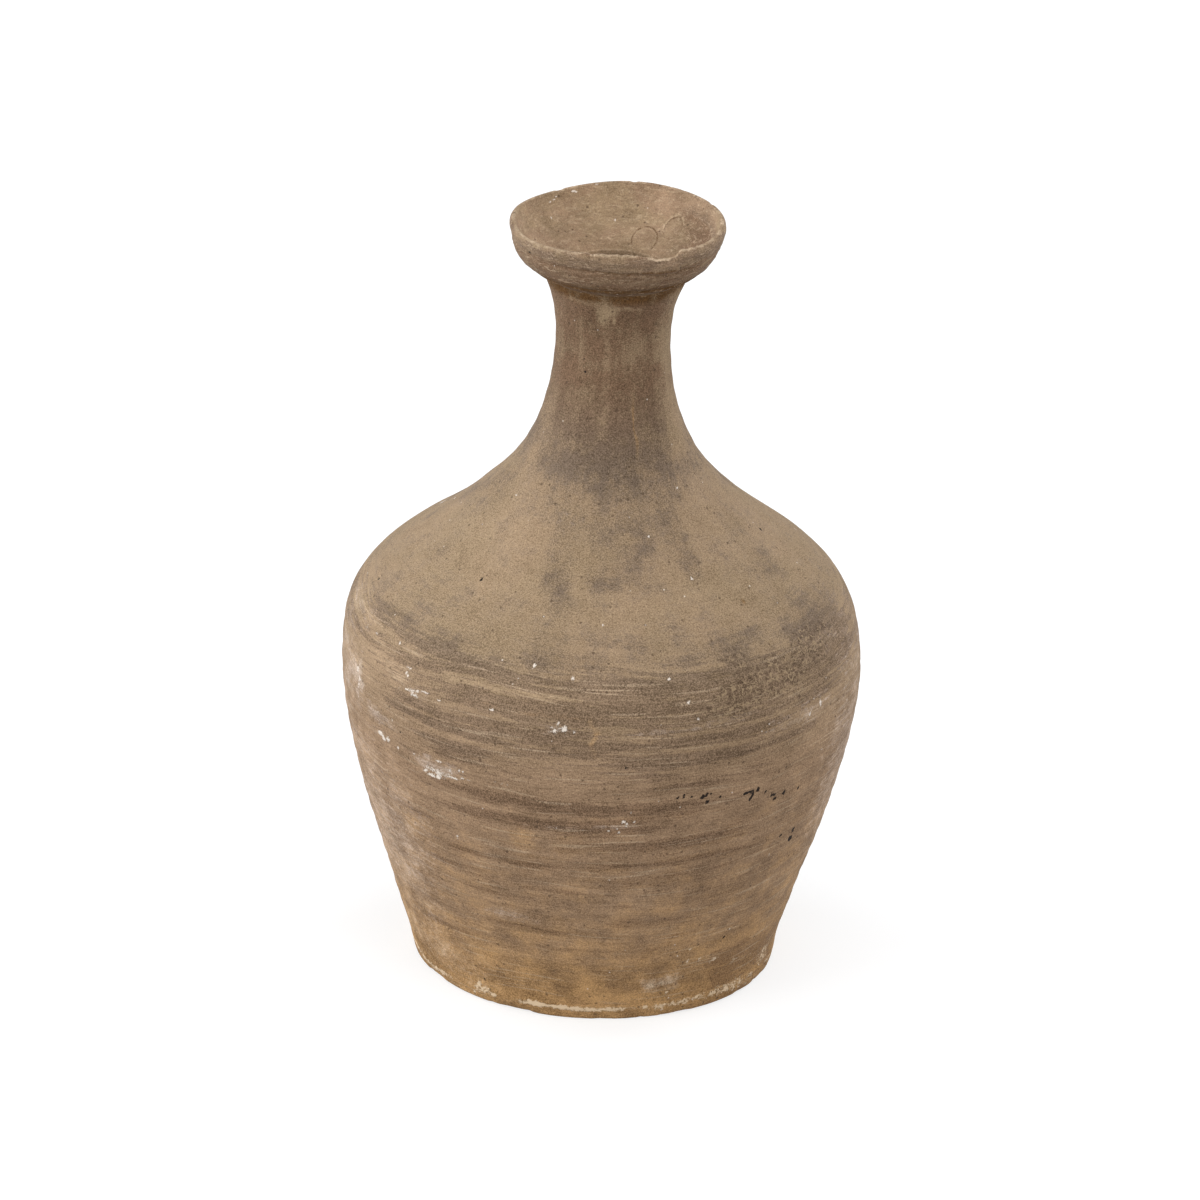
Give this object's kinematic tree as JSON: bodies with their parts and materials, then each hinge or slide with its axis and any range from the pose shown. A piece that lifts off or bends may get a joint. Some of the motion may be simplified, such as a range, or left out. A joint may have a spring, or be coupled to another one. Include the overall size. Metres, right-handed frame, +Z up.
{
  "type": "wine jug",
  "caption": "Dish-mouthed earthenware wine jug with a wide belly, a sloping shoulder and a slim neck; it stands on a flat base and pours through an open bore.",
  "frame": {"origin": "centre of the underside, on the surface that the jug stands on", "axes": "+Z up along the jug's axis, -Y towards the pictured front, +X to the right of the picture"},
  "size_m": [0.25, 0.25, 0.376],
  "materials": {
    "fired_clay": "unglazed, sandy and stained",
    "slab_clay": "unglazed, worn at the edge",
    "luting_clay": "unglazed, wiped smooth"
  },
  "bodies": {
    "root": {"base_slab": "slab_clay", "base_luting_ring": "luting_clay", "lower_body": "fired_clay", "belly_luting_ring": "luting_clay", "shoulder": "fired_clay", "neck_luting_ring": "luting_clay", "neck": "fired_clay", "mouth_luting_ring": "luting_clay", "dish_mouth": "fired_clay"}
  },
  "joints": []
}
